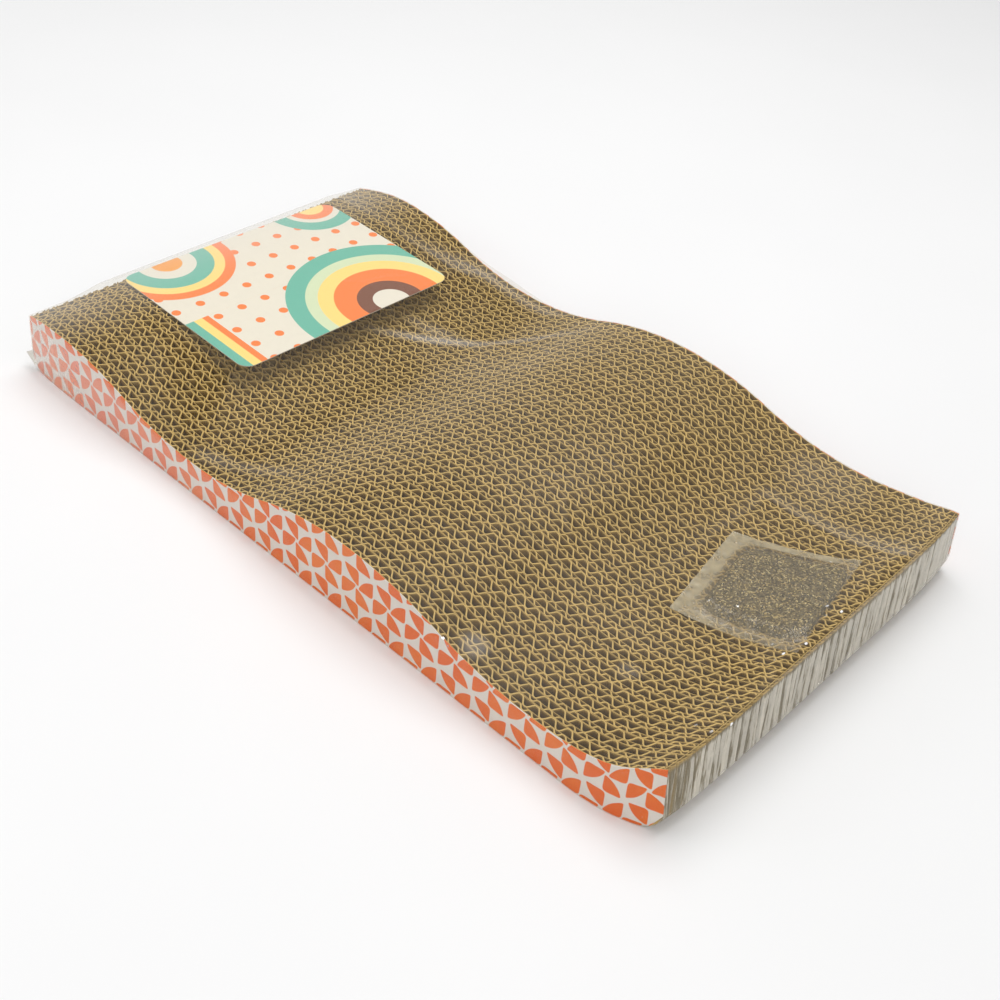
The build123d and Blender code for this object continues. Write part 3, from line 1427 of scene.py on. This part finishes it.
    def build_flecks(self, material: Material) -> Object:
        """Builds the stalk flecks that lie on the bed.

        Args:
            material: The stalks' finish.

        Returns:
            The finished piece.
        """
        rng = random.Random(self.fleck_seed)
        mesh = bmesh.new()
        for _ in range(self.fleck_count):
            share_across = rng.uniform(-self.fleck_reach, self.fleck_reach)
            across = self.fill_shift + self.fill_half_length * share_across
            along = self.fill_half_width * rng.uniform(-self.fleck_reach, self.fleck_reach)
            size = tuple(rng.uniform(low, high) * MM for low, high in self.fleck_sizes)
            spin = Matrix.Rotation(rng.uniform(0, math.tau), 4, "Z")
            tilt = Matrix.Rotation(rng.uniform(-self.fleck_tilt, self.fleck_tilt), 4, "Y")
            if self.fullness(across, along) > self.fleck_reach:
                continue
            spot = self.place(across, along, self.bed_height(across, along) + self.fleck_lift)
            made = bmesh.ops.create_cube(mesh, size=1.0)
            bmesh.ops.scale(mesh, verts=made["verts"], vec=size)
            bmesh.ops.transform(mesh, verts=made["verts"], matrix=Matrix.Translation(spot) @ spin @ tilt)
        return finish_piece("catnip_stalk_flecks", mesh, material, Body.SACHET)


@dataclass
class ShrinkFilm:
    """Clear film drawn close round the block, tented over the card and the bag, with a sealed tail, painted
    sheen and painted glints.
    """

    card: LabelCard
    stand_off: float = 0.35 * MM
    card_room: float = 9 * MM
    card_slope: float = 0.36
    bag_room: float = 11 * MM
    bag_slope: float = 0.45
    bag_lift: float = 5.2 * MM
    blend: float = 6 * MM
    x_cuts: int = 220
    y_cuts: int = 124
    z_cuts: int = 5
    tail_length: float = 7 * MM
    tail_low: float = 1.5 * MM
    tail_high: float = 12 * MM
    haze_start: float = -20 * MM
    haze_run: float = 140 * MM
    haze_level: float = 0.1
    # Painted reflection: extra gloss on the printed sides rising towards the rear, and on the top at the rear
    # end.
    side_sheen: float = 0.17
    side_sheen_start: float = 20 * MM
    side_sheen_run: float = 190 * MM
    rear_sheen: float = 0.12
    rear_sheen_start: float = -160 * MM
    rear_sheen_run: float = 58 * MM
    tail_root: float = 1 * MM
    tail_thickness: float = 0.1 * MM
    tail_veil: float = 4.0
    # Painted reflections: round patches and fold streaks of extra gloss on the top.
    sheen_spots: tuple[Spot, ...] = (
        Spot(-47 * MM, 38 * MM, 34 * MM, 0.018), Spot(113 * MM, -116 * MM, 9 * MM, 0.035),
        Spot(165 * MM, -75 * MM, 8 * MM, 0.03), Spot(150 * MM, 105 * MM, 34 * MM, 0.03),
        Spot(40 * MM, 0.0, 70 * MM, 0.015))
    folds: tuple[SheenStreak, ...] = (
        SheenStreak((-97 * MM, 5 * MM), (-8 * MM, 122 * MM), 4.5 * MM, 0.1),
        SheenStreak((-95 * MM, 33 * MM), (-40 * MM, 66 * MM), 7 * MM, 0.035),
        SheenStreak((-118 * MM, 106 * MM), (-30 * MM, 123 * MM), 8 * MM, 0.09),
        SheenStreak((-84 * MM, -124 * MM), (-12 * MM, -92 * MM), 8 * MM, 0.05))
    # Painted highlights: places on the top where white glint dots may fall.
    glint_spots: tuple[Spot, ...] = (
        Spot(214 * MM, -74 * MM, 17 * MM), Spot(214 * MM, -28 * MM, 14 * MM),
        Spot(213 * MM, 10 * MM, 10 * MM), Spot(102 * MM, -122 * MM, 7 * MM), Spot(165 * MM, -75 * MM, 6 * MM))
    card_box: tuple[Vector, Vector] = field(init=False)
    bag_box: tuple[Vector, Vector] = field(init=False)

    def __post_init__(self) -> None:
        """Reads the boxes of what lies under the film."""
        self.card_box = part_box("label_card")
        self.bag_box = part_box("sachet_front_web")

    @staticmethod
    def over(x: float, y: float, box: tuple[Vector, Vector], room: float) -> tuple[float, float]:
        """Nearest point of what the film lies on, as its X and how far off it is.

        Args:
            x: Place along the block.
            y: Place across it.
            box: Box of what lies under the film.
            room: How far that can shift along Y.

        Returns:
            X of the nearest point, and the distance to it in plan.
        """
        lowest, highest = box
        near_x = min(max(x, lowest.x), highest.x)
        near_y = min(max(y, lowest.y - room), highest.y + room)
        return near_x, math.hypot(x - near_x, y - near_y)

    def smooth_max(self, first: float, second: float) -> float:
        """Larger of two heights, with the crease between them rounded."""
        near = max(self.blend - abs(first - second), 0.0) / self.blend
        return max(first, second) + near ** 2 * self.blend / 4

    def top(self, x: float, y: float) -> float:
        """Height of the film over a point of the straight block.

        Args:
            x: Place along the block, before the film's pull.
            y: Place across it, before the film's pull.

        Returns:
            Height above the underside.
        """
        close = FORM.wave(x)
        drawn = FORM.pulled(Vector((x, y, close)))
        card_x, from_card = self.over(drawn.x, drawn.y, self.card_box, self.card_room)
        over_card = self.card.top_at(card_x) - self.card_slope * from_card
        bag_x, from_bag = self.over(drawn.x, drawn.y, self.bag_box, self.bag_room)
        over_bag = FORM.pulled_wave(bag_x, drawn.y) + self.bag_lift - self.bag_slope * from_bag
        return self.smooth_max(self.smooth_max(close, over_card), over_bag) + self.stand_off

    def shaped(self, share: Vector) -> Vector:
        """Takes a point of the unit box to the film.

        Args:
            share: Point of the box, from 0 to 1 on each axis.

        Returns:
            The point in the frame, just clear of the block.
        """
        x = FORM.half_length * (2 * share.x - 1)
        y = FORM.half_width * (2 * share.y - 1)
        low = FORM.underside(x)
        point = FORM.pulled(Vector((x, y, low + (self.top(x, y) - low) * share.z)))
        point.x += self.stand_off * (2 * share.x - 1)
        point.y += self.stand_off * (2 * share.y - 1)
        return point

    def build(self, material: Material) -> Object:
        """Builds the film and its tail.

        Args:
            material: The film's finish.

        Returns:
            The finished piece.
        """
        mesh = bmesh.new()
        gridded_box(mesh, (even_cuts(self.x_cuts), even_cuts(self.y_cuts), even_cuts(self.z_cuts)))
        veil, sheen, glint = (mesh.verts.layers.float.new(name) for name in ("veil", "sheen", "glint"))
        for vert in mesh.verts:
            on_top = vert.co.z == 1.0
            on_side = vert.co.y in (0.0, 1.0) and not on_top
            vert.co = self.shaped(vert.co)
            x, y, _ = vert.co
            vert[veil] = self.haze_level * ease((x - self.haze_start) / self.haze_run)
            # Painted reflection and highlights: sheen adds gloss on the sides and top, glint places white
            # dots on the top.
            if on_side:
                vert[sheen] = self.side_sheen * ease((self.side_sheen_start - x) / self.side_sheen_run)
            if on_top:
                vert[sheen] = self.rear_sheen * ease((self.rear_sheen_start - x) / self.rear_sheen_run)
                vert[sheen] += sum(patch.level_at(x, y) for patch in self.sheen_spots + self.folds)
                vert[glint] = max(spot.level_at(x, y) for spot in self.glint_spots)
        self.add_tail(mesh)
        return finish_piece("shrink_film", mesh, material, Body.BLOCK, smooth=True)

    def add_tail(self, mesh: BMesh) -> None:
        """Adds the sealed tail that stands off the near rear corner.

        Args:
            mesh: The film's bmesh, with its veil layer.
        """
        corner = FORM.pulled(Vector((-FORM.half_length, -FORM.half_width, self.tail_high)))
        made = bmesh.ops.create_cube(mesh, size=1.0)
        veil = mesh.verts.layers.float["veil"]
        tip_height = (self.tail_low + self.tail_high) / 2
        for vert in made["verts"]:
            vert[veil] = self.tail_veil
            y = corner.y - self.stand_off + self.tail_thickness * vert.co.y
            if vert.co.x < 0:
                vert.co = Vector((corner.x - self.tail_length, y, tip_height))
            else:
                root_height = self.tail_low if vert.co.z < 0 else self.tail_high
                vert.co = Vector((corner.x + self.tail_root, y, root_height))
        bmesh.ops.remove_doubles(mesh, verts=made["verts"], dist=self.tail_thickness / 10)


@dataclass(frozen=True)
class Lamp:
    """Soft square lamp that faces the block: its place, the length of its sides and its power in watts."""

    name: str
    place: tuple[float, float, float]
    size: float
    power: float

    def hang(self) -> None:
        """Hangs the lamp in the scene."""
        light = bpy.data.lights.new(self.name, "AREA")
        light.size = self.size
        light.energy = self.power
        holder = bpy.data.objects.new(self.name, light)
        holder.location = self.place
        holder.rotation_mode = "QUATERNION"
        holder.rotation_quaternion = (-Vector(self.place)).to_track_quat("-Z", "Y")
        bpy.context.scene.collection.objects.link(holder)


@dataclass
class Studio:
    """Pale floor, soft light and the camera."""

    lamps: tuple[Lamp, ...] = (
        Lamp("key_lamp", (-0.25, 0.35, 1.5), 1.2, 14.0), Lamp("fill_lamp", (0.9, -1.2, 0.9), 1.0, 7.6),
        Lamp("side_lamp", (-0.75, -0.8, 0.5), 0.6, 1.4), Lamp("spark_lamp", (0.1, 0.1, 1.6), 0.16, 2.0))
    floor_half: float = 3.0
    floor_drop: float = 0.1 * MM
    floor_shades: tuple[float, float] = (0.87, 0.88)
    world_light: float = 0.42
    world_seen: float = 1.0
    camera_place: tuple[float, float, float] = (368.7 * MM, -421.0 * MM, 430.5 * MM)
    camera_azimuth: float = math.radians(39.41)
    camera_elevation: float = math.radians(39.09)
    camera_roll: float = math.radians(6.25)
    focal_pixels: float = 1333.5
    image_pixels: float = 1000.0
    sensor: float = 36.0
    clip_start: float = 0.01

    def build(self) -> None:
        """Builds the floor, the lights and the camera."""
        self.lay_floor()
        self.light_world()
        for lamp in self.lamps:
            lamp.hang()
        self.set_camera()

    def lay_floor(self) -> None:
        """Lays the plain pale floor."""
        material, sheet, output = new_material("pale_floor")
        mottle = sheet.noise(sheet.place(), scale=6, detail=2)
        shade = sheet.span(mottle, 0.3, 0.7, *self.floor_shades)
        sheet.surface(output, {"Base Color": sheet.grey(shade), "Roughness": 0.7, "Specular IOR Level": 0.2})
        mesh = bmesh.new()
        bmesh.ops.create_grid(mesh, x_segments=1, y_segments=1, size=self.floor_half)
        data = bpy.data.meshes.new("floor")
        mesh.to_mesh(data)
        mesh.free()
        data.materials.append(material)
        floor = bpy.data.objects.new("floor", data)
        floor.location.z = -self.floor_drop
        bpy.context.scene.collection.objects.link(floor)

    def light_world(self) -> None:
        """Sets the even light from all round, and the white that the camera and glossy film see."""
        world = bpy.data.worlds.new("studio")
        world.use_nodes = True
        world.node_tree.nodes.clear()
        sheet = NodeSheet(world.node_tree)
        path = sheet.add("ShaderNodeLightPath")
        seen = path.outputs["Is Camera Ray"]
        for ray in ("Is Glossy Ray", "Is Transmission Ray"):
            seen = sheet.math("MAXIMUM", seen, path.outputs[ray])
        strength = sheet.span(seen, 0.0, 1.0, self.world_light, self.world_seen)
        background = sheet.add("ShaderNodeBackground", {"Color": WHITE, "Strength": strength})
        output = sheet.add("ShaderNodeOutputWorld")
        sheet.feed(output.inputs["Surface"], background.outputs[0])
        bpy.context.scene.world = world

    def set_camera(self) -> None:
        """Sets the camera at the photograph's angle."""
        azimuth, elevation, roll = self.camera_azimuth, self.camera_elevation, self.camera_roll
        ahead = Vector((-math.sin(azimuth) * math.cos(elevation), math.cos(azimuth) * math.cos(elevation),
                        -math.sin(elevation)))
        level = ahead.cross(Vector((0, 0, 1))).normalized()
        upright = level.cross(ahead)
        right = level * math.cos(roll) + upright * math.sin(roll)
        up = right.cross(ahead)
        turn = Matrix((right, up, -ahead)).transposed()
        lens = bpy.data.cameras.new("camera")
        lens.sensor_width = self.sensor
        lens.lens = self.sensor * self.focal_pixels / self.image_pixels
        lens.clip_start = self.clip_start
        camera = bpy.data.objects.new("camera", lens)
        camera.matrix_world = Matrix.Translation(self.camera_place) @ turn.to_4x4()
        bpy.context.scene.collection.objects.link(camera)
        bpy.context.scene.camera = camera


def main() -> None:
    """Builds every sub-assembly in order."""
    logging.basicConfig(level=logging.INFO, format="%(name)s: %(message)s")
    bpy.context.scene.view_settings.view_transform = "Standard"
    effects = Effects()
    print_finish = PrintedPaper().material(effects)
    BoardBlock().build(KraftBoard().material(effects))
    for side in Side:
        PrintedFacing(side).build(print_finish)
    card = LabelCard()
    card.build(PrintedCard(), effects)
    bag = CatnipBag()
    bag.build_bed(DriedCatnip().material(effects))
    bag.build_flecks(CatnipStalk().material(effects))
    bag.build_skin(BAG_FILM.material(effects))
    ShrinkFilm(card).build(WRAP_FILM.material(effects))
    Studio().build()


if __name__ == "__main__":
    main()
